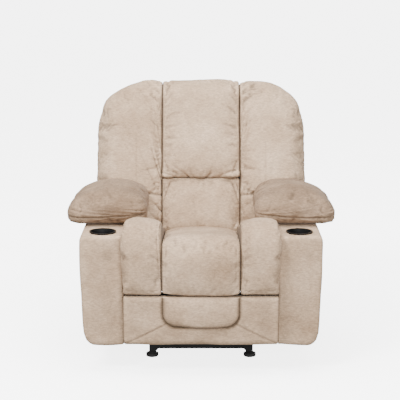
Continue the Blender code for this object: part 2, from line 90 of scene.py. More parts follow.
def lattice(i, j, k, seed):
    """A repeatable value in [-1, 1] for each point of a whole-number grid."""
    h = (i * 374761393 + j * 668265263 + k * 2147483647 + seed * 974711) & 0xFFFFFFFF
    h = ((h ^ (h >> 13)) * 1274126177) & 0xFFFFFFFF
    h = h ^ (h >> 16)
    return (h & 0xFFFF) / 32767.5 - 1.0


def noise(p, seed=0):
    """Smooth value noise in [-1, 1] for an (n, 3) array of points."""
    base = np.floor(p).astype(np.int64)
    f = p - base
    f = f * f * (3 - 2 * f)
    total = np.zeros(len(p))
    for corner in range(8):
        step = np.array([(corner >> 2) & 1, (corner >> 1) & 1, corner & 1])
        weight = np.prod(np.where(step, f, 1 - f), axis=1)
        c = base + step
        total += weight * lattice(c[:, 0], c[:, 1], c[:, 2], seed)
    return total


def stack(*columns):
    """Columns side by side; a single number is repeated down its column."""
    n = max(np.size(c) for c in columns)
    return np.stack([np.broadcast_to(np.asarray(c, float), (n,)) for c in columns], 1)


# ------------------------------------------------------------------ profiles

def rounded(corners, count):
    """A closed outline with its corners rounded, (x, y, radius) each, at evenly spaced points."""
    pts = np.array([c[:2] for c in corners], float)
    radii = [c[2] for c in corners]
    out = []
    n = len(pts)
    for i in range(n):
        a, b, c = pts[i - 1], pts[i], pts[(i + 1) % n]
        la, lc = np.linalg.norm(a - b), np.linalg.norm(c - b)
        cut = min(radii[i], 0.49 * la, 0.49 * lc)
        p, q = b + (a - b) / la * cut, b + (c - b) / lc * cut
        for t in np.linspace(0, 1, 9):
            out.append((1 - t) ** 2 * p + 2 * t * (1 - t) * b + t ** 2 * q)
    out = np.array(out)
    loop = np.vstack([out, out[:1]])
    run = np.concatenate([[0], np.cumsum(np.linalg.norm(np.diff(loop, axis=0), axis=1))])
    keep = np.concatenate([[True], np.diff(run) > 1e-9])
    t = np.linspace(0, run[-1], count, endpoint=False)
    return np.stack([np.interp(t, run[keep], loop[keep, k]) for k in (0, 1)], 1)


def to_spine(points, spine):
    """The nearest point of a polyline to each point."""
    best = np.full(len(points), np.inf)
    near = np.zeros_like(points)
    for a, b in zip(spine[:-1], spine[1:]):
        d = b - a
        t = np.clip(((points - a) @ d) / (d @ d), 0, 1)
        q = a + t[:, None] * d
        dist = np.linalg.norm(points - q, axis=1)
        closer = dist < best
        near[closer] = q[closer]
        best[closer] = dist[closer]
    return near


def round_end(distance, radius):
    """How far a section shrinks at a distance from an end that is rounded to a radius."""
    q = np.clip(1 - distance / radius, 0, 1)
    return radius * (1 - math.sqrt(max(0.0, 1 - q * q)))


def seam_edge(distance, radius, broad, reach=0.045):
    """A tight roll at a seam that carries on into a broad, shallow crown."""
    return round_end(distance, radius) + broad * math.exp(-max(0.0, distance) / reach)


def stations(a, b, ra, rb, step):
    """Positions from a to b, closer together within ra and rb of the ends."""
    ends_a = a + ra * (1 - np.cos(np.linspace(0, math.pi / 2, max(4, int(ra / step * 1.6)))))
    ends_b = b - rb * (1 - np.cos(np.linspace(0, math.pi / 2, max(4, int(rb / step * 1.6)))))[::-1]
    middle = np.linspace(ends_a[-1], ends_b[0], max(2, int((ends_b[0] - ends_a[-1]) / step)) + 1)[1:-1]
    return np.concatenate([ends_a, middle, ends_b])


def closed_mesh(name, verts, faces):
    """A smooth object in the scene, its faces turned outwards."""
    mesh = bpy.data.meshes.new(name)
    mesh.from_pydata(verts, [], faces)
    bm = bmesh.new()
    bm.from_mesh(mesh)
    bmesh.ops.remove_doubles(bm, verts=bm.verts, dist=1e-6)
    bmesh.ops.recalc_face_normals(bm, faces=bm.faces)
    bm.to_mesh(mesh)
    bm.free()
    obj = bpy.data.objects.new(name, mesh)
    bpy.context.scene.collection.objects.link(obj)
    for face in mesh.polygons:
        face.use_smooth = True
    return obj


def plane_x(w, ring):
    """Places a ring across X."""
    return np.column_stack([np.full(len(ring), w), ring])


def loft(name, ring_at, spine_at, ws, inset, place=plane_x):
    """A closed skin through the rings at ws, each drawn in towards its spine, with domed ends."""
    rows = []
    for k, w in enumerate(ws):
        ring = ring_at(w)
        near = to_spine(ring, np.asarray(spine_at(w), float))
        gap = np.linalg.norm(near - ring, axis=1)
        e = np.minimum(inset(w, ring), gap * 0.96)
        rows.append((w, ring + (near - ring) / np.maximum(gap, 1e-9)[:, None] * e[:, None], near))
    first, last = rows[0], rows[-1]
    caps = []
    for w, ring, near in (first, last):
        caps.append([(w, ring + (near - ring) * f, near) for f in (0.25, 0.5, 0.75, 0.93)])
    rows = caps[0][::-1] + rows + caps[1]
    count = len(rows[0][1])
    verts = np.concatenate([place(w, ring) for w, ring, _ in rows])
    faces = []
    for r in range(len(rows) - 1):
        a, b = r * count, (r + 1) * count
        for i in range(count):
            j = (i + 1) % count
            faces.append((a + i, a + j, b + j, b + i))
    faces.append(tuple(range(count))[::-1])
    faces.append(tuple(range((len(rows) - 1) * count, len(rows) * count)))
    return closed_mesh(name, verts.tolist(), faces)


def coords(obj):
    co = np.empty(len(obj.data.vertices) * 3)
    obj.data.vertices.foreach_get("co", co)
    return co.reshape(-1, 3)


def normals(obj):
    no = np.empty(len(obj.data.vertices) * 3)
    obj.data.vertex_normals.foreach_get("vector", no)
    return no.reshape(-1, 3)


def set_coords(obj, co):
    obj.data.vertices.foreach_set("co", co.ravel())
    obj.data.update()


def push(obj, amount_at):
    """Moves each vertex along its normal by amount_at(points, normals), but not where it faces along X."""
    co, no = coords(obj), normals(obj)
    facing = np.sqrt(np.clip(1 - no[:, 0] ** 2, 0, 1))
    set_coords(obj, co + no * (amount_at(co, no) * facing)[:, None])


def mirror(obj):
    co = coords(obj)
    co[:, 0] = -co[:, 0]
    set_coords(obj, co)
    obj.data.flip_normals()


def smoothstep(a, b, v):
    """0 up to a, 1 from b, with a smooth step between them; a may be the larger."""
    t = np.clip((v - a) / (b - a), 0, 1)
    return t * t * (3 - 2 * t)


# ------------------------------------------------------------------ materials

def nodes_of(name):
    mat = bpy.data.materials.new(name)
    mat.use_nodes = True
    tree = mat.node_tree
    return mat, tree, tree.nodes["Principled BSDF"]


def link(tree, a, b):
    tree.links.new(a, b)


def node(tree, kind, **values):
    n = tree.nodes.new(kind)
    for key, value in values.items():
        if key in n.inputs:
            n.inputs[key].default_value = value
        else:
            setattr(n, key, value)
    return n


def ramp_of(tree, low, dark, high, light):
    """A colour ramp from dark at low to light at high."""
    ramp = node(tree, "ShaderNodeValToRGB")
    ramp.color_ramp.elements[0].position = low
    ramp.color_ramp.elements[0].color = (*dark, 1)
    ramp.color_ramp.elements[1].position = high
    ramp.color_ramp.elements[1].color = (*light, 1)
    return ramp


def map_range(tree, **values):
    """A Map Range node; from_min=0.3 sets its From Min, and so on."""
    made = node(tree, "ShaderNodeMapRange")
    for key, value in values.items():
        made.inputs[key.replace("_", " ").title()].default_value = value
    return made


def plush(name, dark, base, light, seed):
    """Short-pile velvet: brushed patches, mottled pile, crushed nap and a faint sheen, its colour multiplied
    by each piece's painted shade and highlight.
    """
    mat, tree, shader = nodes_of(name)
    place = node(tree, "ShaderNodeTexCoord").outputs["Object"]
    shift = node(tree, "ShaderNodeMapping")
    shift.inputs["Location"].default_value = (seed * 3.1, seed * 1.7, seed * 2.3)
    link(tree, place, shift.inputs["Vector"])
    patches = node(tree, "ShaderNodeTexNoise", Scale=5.5, Detail=7.0, Roughness=0.68, Distortion=0.15)
    link(tree, shift.outputs["Vector"], patches.inputs["Vector"])
    ramp = ramp_of(tree, 0.30, dark, 0.72, light)
    middle = ramp.color_ramp.elements.new(0.50)
    middle.color = (*base, 1)
    link(tree, patches.outputs["Fac"], ramp.inputs["Fac"])
    nap = node(tree, "ShaderNodeMapping")
    nap.inputs["Scale"].default_value = (1.0, 1.0, 2.6)
    link(tree, shift.outputs["Vector"], nap.inputs["Vector"])
    pile = node(tree, "ShaderNodeTexNoise", Scale=84.0, Detail=6.0, Roughness=0.72, Distortion=0.3)
    link(tree, nap.outputs["Vector"], pile.inputs["Vector"])
    tone = map_range(tree, from_min=0.32, from_max=0.68, to_min=0.70, to_max=1.25)
    link(tree, pile.outputs["Fac"], tone.inputs["Value"])
    # Painted shade in creases and seams, and a painted highlight on ridges, stored on each piece.
    shade = node(tree, "ShaderNodeAttribute", attribute_name="painted_shade_and_highlight")
    tone_and_painted_shade = node(tree, "ShaderNodeMath", operation="MULTIPLY")
    link(tree, tone.outputs["Result"], tone_and_painted_shade.inputs[0])
    link(tree, shade.outputs["Fac"], tone_and_painted_shade.inputs[1])
    coloured = node(tree, "ShaderNodeVectorMath", operation="SCALE")
    link(tree, ramp.outputs["Color"], coloured.inputs[0])
    link(tree, tone_and_painted_shade.outputs["Value"], coloured.inputs["Scale"])
    link(tree, coloured.outputs["Vector"], shader.inputs["Base Color"])
    weave = node(tree, "ShaderNodeTexVoronoi", Scale=420.0)
    link(tree, shift.outputs["Vector"], weave.inputs["Vector"])
    woven = node(tree, "ShaderNodeBump", Strength=0.35, Distance=0.0010)
    link(tree, weave.outputs["Distance"], woven.inputs["Height"])
    crushed = node(tree, "ShaderNodeBump", Strength=0.45, Distance=0.0035)
    crush = node(tree, "ShaderNodeTexNoise", Scale=55.0, Detail=3.0, Roughness=0.65, Distortion=0.4)
    link(tree, shift.outputs["Vector"], crush.inputs["Vector"])
    link(tree, crush.outputs["Fac"], crushed.inputs["Height"])
    link(tree, woven.outputs["Normal"], crushed.inputs["Normal"])
    link(tree, crushed.outputs["Normal"], shader.inputs["Normal"])
    shader.inputs["Roughness"].default_value = 0.95
    shader.inputs["Specular IOR Level"].default_value = 0.04
    shader.inputs["Sheen Weight"].default_value = 0.08
    shader.inputs["Sheen Roughness"].default_value = 0.45
    shader.inputs["Sheen Tint"].default_value = (0.95, 0.86, 0.78, 1.0)
    return mat


def coated(name, dark, light, rough, bump, metallic=0.0, scale=900.0, spread=0.08):
    """A coated or moulded surface: fine grain in the bump, wear in roughness and colour."""
    mat, tree, shader = nodes_of(name)
    place = node(tree, "ShaderNodeTexCoord").outputs["Object"]
    wear = node(tree, "ShaderNodeTexNoise", Scale=18.0, Detail=6.0, Roughness=0.6)
    link(tree, place, wear.inputs["Vector"])
    ramp = ramp_of(tree, 0.35, dark, 0.75, light)
    link(tree, wear.outputs["Fac"], ramp.inputs["Fac"])
    link(tree, ramp.outputs["Color"], shader.inputs["Base Color"])
    tone = map_range(tree, to_min=rough - spread, to_max=rough + spread)
    link(tree, wear.outputs["Fac"], tone.inputs["Value"])
    link(tree, tone.outputs["Result"], shader.inputs["Roughness"])
    grain = node(tree, "ShaderNodeTexNoise", Scale=scale, Detail=2.0)
    link(tree, place, grain.inputs["Vector"])
    lump = node(tree, "ShaderNodeBump", Strength=bump, Distance=0.0006)
    link(tree, grain.outputs["Fac"], lump.inputs["Height"])
    link(tree, lump.outputs["Normal"], shader.inputs["Normal"])
    shader.inputs["Metallic"].default_value = metallic
    shader.inputs["Specular IOR Level"].default_value = 0.18
    return mat


def timber(name):
    """Sawn softwood with its grain along X."""
    mat, tree, shader = nodes_of(name)
    place = node(tree, "ShaderNodeTexCoord").outputs["Object"]
    stretch = node(tree, "ShaderNodeMapping")
    stretch.inputs["Scale"].default_value = (1.0, 8.0, 8.0)
    link(tree, place, stretch.inputs["Vector"])
    grain = node(tree, "ShaderNodeTexNoise", Scale=14.0, Detail=7.0, Roughness=0.6, Distortion=0.8)
    link(tree, stretch.outputs["Vector"], grain.inputs["Vector"])
    ramp = ramp_of(tree, 0.35, (0.30, 0.18, 0.085), 0.68, (0.58, 0.40, 0.22))
    link(tree, grain.outputs["Fac"], ramp.inputs["Fac"])
    link(tree, ramp.outputs["Color"], shader.inputs["Base Color"])
    lump = node(tree, "ShaderNodeBump", Strength=0.25, Distance=0.001)
    link(tree, grain.outputs["Fac"], lump.inputs["Height"])
    link(tree, lump.outputs["Normal"], shader.inputs["Normal"])
    shader.inputs["Roughness"].default_value = 0.62
    return mat


PLUSH = plush("plush_beige", (0.292, 0.198, 0.126), (0.378, 0.267, 0.178), (0.474, 0.346, 0.243), 1)
# A lighter copy of the same plush: painted light on the back cushions.
PLUSH_BACK_LIT = plush("plush_back_lit", (0.307, 0.210, 0.136), (0.397, 0.284, 0.191), (0.498, 0.368, 0.261), 2)
# A darker copy of the same plush: painted shade on the arm pillows.
PLUSH_PAD_SHADED = plush("plush_pad_shaded", (0.164, 0.107, 0.068), (0.222, 0.152, 0.100), (0.304, 0.217, 0.149), 3)
STEEL_BLACK = coated("powder_black", (0.004, 0.004, 0.004), (0.012, 0.012, 0.013), 0.50, 0.35)
ZINC = coated("zinc_plate", (0.085, 0.085, 0.088), (0.15, 0.15, 0.152), 0.42, 0.15, 1.0)
PLASTIC = coated("moulded_black", (0.006, 0.006, 0.006), (0.014, 0.014, 0.015), 0.40, 0.20, 0.0, 1400.0)
RUBBER = coated("glide_black", (0.012, 0.012, 0.012), (0.030, 0.030, 0.030), 0.62, 0.45)
FELT = coated("deck_cloth", (0.040, 0.036, 0.034), (0.085, 0.078, 0.072), 0.92, 0.90, 0.0, 600.0, 0.04)
WOOD = timber("pine")


# ------------------------------------------------------------------ finishing a piece

# How deep a crease is when the painted shade in it is at its darkest.
FOLD_DEPTH = 0.0016


def paint_shade_and_highlight(obj, sewn=None):
    """Stores painted shade and a painted highlight as a colour factor: darker in creases and along sewn
    lines, where shade falls, and paler along ridges.

    sewn(points) is 1 on a sewn line.
    """
    mesh = obj.data
    co, no = coords(obj), normals(obj)
    ends = np.empty(len(mesh.edges) * 2, np.int64)
    mesh.edges.foreach_get("vertices", ends)
    a, b = ends.reshape(-1, 2).T
    count = np.maximum(np.bincount(a, minlength=len(co)) + np.bincount(b, minlength=len(co)), 1)[:, None]

    def relaxed(values, times):
        for _ in range(times):
            total = np.zeros_like(values)
            for k in range(values.shape[1]):
                total[:, k] = np.bincount(a, values[b, k], len(co)) + np.bincount(b, values[a, k], len(co))
            values = 0.5 * values + 0.5 * total / count
        return values
    depth = np.sum((relaxed(co, 24) - co) * no, 1)
    depth = relaxed(depth[:, None], 2)[:, 0]
    # Painted shade in the creases and a painted highlight on the ridges.
    shade = 1 - 0.40 * np.clip(depth / FOLD_DEPTH, 0, 1) + 0.10 * np.clip(-depth / FOLD_DEPTH, 0, 1)
    if sewn is not None:
        # Painted shade along the sewn lines.
        shade = shade * (1 - 0.55 * np.clip(sewn(co), 0, 1))
    layer = mesh.attributes.new("painted_shade_and_highlight", "FLOAT", "POINT")
    layer.data.foreach_set("value", shade.astype(np.float32))


def finish_piece(obj, body, mat, *replaced, fill=0.75, sewn=None):
    paint_shade_and_highlight(obj, sewn)
    obj.data.materials.clear()
    obj.data.materials.append(mat)
    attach(obj, body)
    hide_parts(*replaced)


# ------------------------------------------------------------------ gathers

def gathers(along, distance, pitch, reach, seed, slant=0.0):
    """Puckers sewn into a seam: round ridges and sharp valleys that fan out, widen and die away."""
    d = np.maximum(distance, 0)
    spread = 1 + 0.8 * d / reach
    ridge = noise(stack((along + slant * d) / (pitch * spread), d / 0.07, seed * 7.3), seed)
    fine = noise(stack((along + slant * d) / (0.45 * pitch * spread), d / 0.05, seed * 5.1), seed + 9)
    bunch = 0.30 + 0.70 * smoothstep(-0.3, 0.5, noise(stack(along / 0.075, seed * 3.1, 0.0), seed + 5))
    shape = np.abs(ridge) ** 0.8 - 0.32 + 0.30 * (np.abs(fine) - 0.3)
    return shape * bunch * np.exp(-d / reach) * (1 - np.exp(-d / 0.004))


def softness(co, seed, size=0.085, amount=0.0035):
    """The slow unevenness of stuffing under fabric."""
    return amount * noise(co / size, seed) + 0.4 * amount * noise(co / (size * 0.45), seed + 1)


def line_at(distance, width):
    """1 on a line, 0 away from it, with a soft edge."""
    return np.exp(-(distance / width) ** 2)


def near_seam(distance, width=0.0065):
    """1 on a seam, 0 from a width away."""
    return smoothstep(width, 0.25 * width, distance)


# ------------------------------------------------------------------ cloth

CLOTH_FRAMES = 20
VOXEL = 0.006


def bake(obj):
    """Applies every modifier on an object."""
    deps = bpy.context.evaluated_depsgraph_get()
    mesh = bpy.data.meshes.new_from_object(obj.evaluated_get(deps))
    obj.modifiers.clear()
    old = obj.data
    obj.data = mesh
    bpy.data.meshes.remove(old)
    for face in mesh.polygons:
        face.use_smooth = True


def upholster(obj, held, cap, slack=0.05):
    """Blows a padded piece up as cloth whose sewn and hidden faces are held, and keeps the result.

    held(points) is 1 where the fabric can't move, cap is the most it may move, and slack is the
    extra fabric that puckers.
    """
    even = obj.modifiers.new("even", "REMESH")
    even.mode = "VOXEL"
    even.voxel_size = VOXEL
    bake(obj)
    start = coords(obj)
    hold = np.clip(held(start), 0, 1)
    group = obj.vertex_groups.new(name="sewn")
    for level in range(1, 11):
        chosen = np.nonzero(np.round(hold * 10) == level)[0]
        if len(chosen):
            group.add(chosen.tolist(), level / 10, "REPLACE")
    cloth = obj.modifiers.new("cloth", "CLOTH")
    cloth.settings.quality = 4
    cloth.settings.mass = 0.15
    cloth.settings.tension_stiffness = 10
    cloth.settings.compression_stiffness = 10
    cloth.settings.shear_stiffness = 4
    cloth.settings.bending_stiffness = 0.15
    cloth.settings.use_pressure = True
    cloth.settings.uniform_pressure_force = 4
    cloth.settings.shrink_min = -slack
    cloth.settings.vertex_group_mass = "sewn"
    cloth.settings.effector_weights.gravity = 0
    cloth.collision_settings.use_collision = False
    cloth.point_cache.frame_start = 1
    cloth.point_cache.frame_end = CLOTH_FRAMES
    for number in range(1, CLOTH_FRAMES + 1):
        bpy.context.scene.frame_set(number)
    bake(obj)
    bpy.context.scene.frame_set(1)
    obj.vertex_groups.clear()
    moved = coords(obj) - start
    length = np.linalg.norm(moved, axis=1)
    kept = cap * np.tanh(length / cap) / np.maximum(length, 1e-9)
    set_coords(obj, start + moved * kept[:, None])
    smooth = obj.modifiers.new("finer", "SUBSURF")
    smooth.levels = 1
    smooth.render_levels = 1
    bake(obj)


def held_panel(low_x, high_x, hidden):
    """Holds the flanks of a panel that runs from one X to another, and all that hidden(points) says."""
    def held(co):
        flank = np.minimum(co[:, 0] - low_x, high_x - co[:, 0])
        return np.maximum(smoothstep(0.012, 0.004, flank), hidden(co))
    return held


# ------------------------------------------------------------------ back

# Distances up the back, from its foot: the crown, and the seam between the headrest and the lumbar cushion.
TOP = 0.633
SEAM_UP = 0.2225
# Half the width of the middle panels, and how far out a wing goes.
CENTRE = 0.158
WING_OUTER = 0.426
CREST_Z = leaned([(TOP - 0.130, 0.0), (TOP - 0.040, 0.0)])[:, 1]


def back_profile(foot, top, count, lip):
    """The section of a back panel: up the front from its foot, over the crown and down the rear.

    foot and top are distances up the back; the front's lower edge hangs over by lip.
    """
    hang = foot - 0.55 * lip
    return leaned(rounded([
        (foot + 0.001, 0.117, 0.010), (foot, 0.026, 0.004), (hang, 0.012, 0.004), (hang, -0.004 - lip, 0.020),
        (foot + 0.080, -0.016 - lip, 0.09), (0.42 * foot + 0.58 * top, -0.014, 0.12),
        (top - 0.050, 0.000, 0.08), (top - 0.006, 0.050, 0.06), (top + 0.006, 0.120, 0.06),
        (top - 0.020, 0.190, 0.06),
        (top - 0.060, 0.230, 0.05), (top - 0.118, 0.236, 0.02), (top - 0.124, 0.150, 0.02),
        (top - 0.150, 0.117, 0.02),
    ], count))


def back_spine(foot, top):
    return leaned([(foot + 0.040, 0.060), (top - 0.100, 0.060), (top - 0.060, 0.120), (top - 0.075, 0.190)])


def crowned(distance, radius, broad, ring):
    """A seam roll whose broad crown fades out over the top of the back, where the panels meet level."""
    crest = smoothstep(CREST_Z[0], CREST_Z[1], ring[:, 1])
    tight = round_end(distance, radius)
    full = seam_edge(distance, radius, broad)
    return full + (0.75 * tight - full) * crest


def foot_corner(ring):
    """1 at the foot of the back, where a panel's corners stay square."""
    return 0.80 * smoothstep(0.035, 0.005, up_back(ring))


def square_corner(ring):
    """Keeps the corners square where the headrest and the lumbar cushion meet between the wings."""
    return 1 - 0.70 * line_at(up_back(ring) - SEAM_UP, 0.024) - foot_corner(ring)


def boxed(ring, start, end):
    """1 where a panel's outer end is rolled, near 0 on the flat side that meets the outer back."""
    deep = smoothstep(start, end, behind(ring))
    low = smoothstep(TOP - 0.13, TOP - 0.20, up_back(ring))
    return 1 - 0.92 * deep * low


def back_hidden(co):
    """The rear and underside of a back cushion."""
    return np.maximum(smoothstep(0.060, 0.085, behind(co)) * (up_back(co) < TOP - 0.125),
                      smoothstep(0.185, 0.215, behind(co)))


def build_headrest(ws):
    foot, lip = 0.223, 0.010
    profile, spine = back_profile(foot, TOP + 0.002, 360, lip), back_spine(foot, TOP)
    head = loft("headrest", lambda w: profile, lambda w: spine, ws,
                lambda w, ring: crowned(CENTRE - abs(w), 0.014, 0.022, ring) * square_corner(ring))

    def hidden(co):
        under = smoothstep(0.008, 0.003, up_back(co) - (foot - 0.005)) * smoothstep(0.004, 0.012, behind(co))
        return np.maximum(back_hidden(co), under)
    upholster(head, held_panel(-CENTRE, CENTRE, hidden), 0.022)

    def folds(co, no):
        side = CENTRE - np.abs(co[:, 0])
        up = up_back(co)
        lift = smoothstep(TOP - 0.02, TOP - 0.22, up)
        front = smoothstep(0.05, 0.02, behind(co))
        return (softness(co, 11) + 0.017 * gathers(up, side, 0.026, 0.024, 12, 0.5) * (0.35 + 0.65 * lift)
                + 0.026 * gathers(co[:, 0], up - (foot - 0.008), 0.028, 0.026, 13) * front)
    push(head, folds)

    # Painted shade along the side seams and the hem.
    def sewn(co):
        hem = up_back(co) - (foot - 0.0075)
        return np.maximum(near_seam(CENTRE - np.abs(co[:, 0])), near_seam(hem, 0.007))
    finish_piece(head, "back", PLUSH_BACK_LIT, "headrest_cushion", sewn=sewn)


def build_lumbar(ws):
    ring = leaned(rounded([
        (-0.018, 0.080, 0.02), (-0.022, 0.020, 0.02), (-0.004, -0.008, 0.03), (0.110, -0.020, 0.09),
        (0.2165, -0.002, 0.010), (SEAM_UP, 0.016, 0.006), (SEAM_UP, 0.080, 0.02),
    ], 130))
    spine = leaned([(0.020, 0.045), (0.180, 0.045)])
    lumbar = loft("lumbar", lambda w: ring, lambda w: spine, ws,
                  lambda w, ring: seam_edge(CENTRE - abs(w), 0.012, 0.016) * square_corner(ring))

    def hidden(co):
        return np.maximum(smoothstep(0.030, 0.050, behind(co)), smoothstep(0.208, 0.216, up_back(co)))
    upholster(lumbar, held_panel(-CENTRE, CENTRE, hidden), 0.018)

    def folds(co, no):
        side = CENTRE - np.abs(co[:, 0])
        up = up_back(co)
        return (softness(co, 21) + 0.020 * gathers(up, side, 0.030, 0.040, 22, -0.9)
                + 0.008 * gathers(co[:, 0], SEAM_UP - 0.001 - up, 0.028, 0.014, 23))
    push(lumbar, folds)

    # Painted shade along the side seams and where it meets the headrest.
    def sewn(co):
        return np.maximum(near_seam(CENTRE - np.abs(co[:, 0])), near_seam(SEAM_UP - up_back(co), 0.009))
    finish_piece(lumbar, "back", PLUSH_BACK_LIT, "lumbar_cushion", sewn=sewn)


def build_wing(side_name, sign, index):
    inner, outer = CENTRE + 0.0006, WING_OUTER
    # How far the top drops below the crown, by X; the foot steps up where the wing passes over the arm.
    drops = ([inner, 0.20, 0.25, 0.29, 0.33, 0.365, 0.395, outer],
             [0.002, 0.003, 0.009, 0.019, 0.036, 0.058, 0.088, 0.140])
    step_x, step_up = (0.250, 0.268), 0.116
    panel_seam_x = 0.262

    def foot(w):
        return step_up * float(smoothstep(*step_x, np.array(w)))

    def ring_at(w):
        return back_profile(foot(w), TOP - np.interp(w, *drops), 400, 0.0)

    def spine_at(w):
        return back_spine(foot(w), TOP - np.interp(w, *drops))

    def inset(w, ring):
        roll = np.maximum(crowned(w - inner, 0.014, 0.026, ring),
                          round_end(outer - w, 0.055) * boxed(ring, 0.050, 0.095))
        return roll * (1 - foot_corner(ring))
    wing = loft(f"wing_{side_name}", ring_at, spine_at, stations(inner, outer, 0.016, 0.056, 0.006), inset)

    def hidden(co):
        low = smoothstep(0.020, 0.008, up_back(co) - np.where(co[:, 0] > panel_seam_x, step_up, 0.0))
        flank = smoothstep(0.012, 0.004, co[:, 0] - inner)
        return np.maximum(np.maximum(back_hidden(co), low), flank)
    upholster(wing, hidden, 0.020)

    def folds(co, no):
        x = co[:, 0]
        side = x - inner
        up = up_back(co)
        low = smoothstep(0.30, 0.10, up)
        high = smoothstep(TOP - 0.03, TOP - 0.25, up)
        out = 0.022 * gathers(up, side, 0.029, 0.036, 31 + index, 0.6)
        out = out * (0.25 + 0.75 * high) * (1 + 0.5 * low)
        deep = 0.022 * gathers(up, side, 0.040, 0.080, 37 + index, 0.9) * smoothstep(0.16, 0.10, up)
        crease_up = 0.150 + 0.10 * (x - 0.2)
        crease = line_at(up - crease_up, 0.005) * smoothstep(0.265, 0.225, x)
        bulge = smoothstep(crease_up - 0.002, crease_up - 0.018, up) * smoothstep(panel_seam_x, 0.22, x)
        seam = line_at(x - panel_seam_x, 0.003) * smoothstep(0.42, 0.30, up)
        front = behind(co) < 0.04
        relief = front * (0.006 * bulge - 0.007 * crease - 0.0016 * seam)
        return softness(co, 35 + index, 0.10, 0.0050) + out + deep + relief
    push(wing, folds)
    if sign < 0:
        mirror(wing)
    # Painted shade along the seam with the middle panels.
    finish_piece(wing, "back", PLUSH_BACK_LIT, f"back_wing_{side_name}",
                 sewn=lambda co: near_seam(np.abs(co[:, 0]) - inner))


def build_outer_back():
    """The flat rear panel; below the arm tops it narrows to pass between them."""
    edge = 0.4255
    drops = ([0.0, 0.26, 0.31, 0.35, 0.385, 0.41, 0.428], [0.004, 0.006, 0.016, 0.032, 0.054, 0.082, 0.125])
    foot_narrow, foot_wide = -0.098, 0.118

    def ends(w):
        wide = float(smoothstep(0.244, 0.262, np.array(abs(w))))
        top = TOP - np.interp(abs(w), *drops) - 0.122
        return foot_narrow + (foot_wide - foot_narrow) * wide, top

    def ring_at(w):
        foot, top = ends(w)
        front = 0.146 - 0.0275 * float(smoothstep(0.268, 0.272, np.array(abs(w))))
        mid = foot + min(0.10, 0.6 * (top - foot))
        return leaned(rounded([
            (foot, front, 0.004), (foot - 0.004, front + 0.018, 0.012), (mid, 0.222, 0.06),
            (top, 0.232, 0.012), (top + 0.002, front, 0.006)], 140))

    def spine_at(w):
        foot, top = ends(w)
        return leaned([(foot + 0.02, 0.150), (top - 0.03, 0.180)])
    shell = loft("outer_back", ring_at, spine_at, stations(-edge, edge, 0.03, 0.03, 0.008),
                 lambda w, ring: round_end(edge - abs(w), 0.030) * boxed(ring, 0.185, 0.140))
    push(shell, lambda co, no: softness(co, 41, 0.12, 0.0025))
    finish_piece(shell, "back", PLUSH, "back_outer_panel", fill=0.5)


def build_back():
    ws = stations(-CENTRE, CENTRE, 0.016, 0.016, 0.006)
    build_headrest(ws)
    build_lumbar(ws)
    for index, (side_name, sign) in enumerate(SIDES):
        build_wing(side_name, sign, index)
    build_outer_back()


# ------------------------------------------------------------------ seat

# Half the width of the middle cushion, and how far out the front of a bolster goes.
SEAT_HALF = 0.1440
BOLSTER_OUTER = 0.2990
# The hem of the seat's front, and the Y behind which the front board carries it.
HEM_Z = 0.3065
FRONT_BOARD_Y = Y0 - 0.462


def seat_hidden(co):
    """The underside of a seat piece and the end under the back."""
    under = smoothstep(0.400, 0.380, co[:, 2]) * (co[:, 1] > FRONT_BOARD_Y)
    return np.maximum(under, co[:, 1] > Y0 - 0.02)


def build_seat_centre():
    ring = rounded(from_plane([
        (0.040, 0.352, 0.01), (0.038, 0.438, 0.02), (-0.050, 0.462, 0.05), (-0.200, 0.482, 0.08),
        (-0.340, 0.505, 0.08), (-0.440, 0.521, 0.05), (-0.492, 0.512, 0.04), (-0.507, 0.455, 0.05),
        (-0.508, 0.380, 0.05), (-0.502, 0.308, 0.014), (-0.460, 0.306, 0.008), (-0.458, 0.350, 0.008),
    ]), 220)
    spine = [(Y0 + 0.000, 0.395), (Y0 - 0.420, 0.430), (Y0 - 0.480, 0.420), (Y0 - 0.482, 0.330)]
    seat = loft("seat_centre", lambda w: ring, lambda w: spine,
                stations(-SEAT_HALF, SEAT_HALF, 0.014, 0.014, 0.006),
                lambda w, ring: seam_edge(SEAT_HALF - abs(w), 0.008, 0.009))

    def hidden(co):
        return np.maximum(seat_hidden(co), smoothstep(0.320, 0.312, co[:, 2]))
    upholster(seat, held_panel(-SEAT_HALF, SEAT_HALF, hidden), 0.012, 0.03)

    def folds(co, no):
        side = SEAT_HALF - np.abs(co[:, 0])
        run = co[:, 2] - co[:, 1]
        face = co[:, 1] < Y0 - 0.47
        return (softness(co, 51, 0.10, 0.0035) + 0.011 * gathers(run, side, 0.030, 0.018, 52)
                + 0.004 * gathers(co[:, 0], co[:, 2] - 0.308, 0.030, 0.012, 54) * face)
    push(seat, folds)

    # Painted shade along the side seams and the hem.
    def sewn(co):
        return np.maximum(near_seam(SEAT_HALF - np.abs(co[:, 0])), near_seam(co[:, 2] - HEM_Z, 0.008))
    finish_piece(seat, "base", PLUSH, "seat_centre_cushion", sewn=sewn)


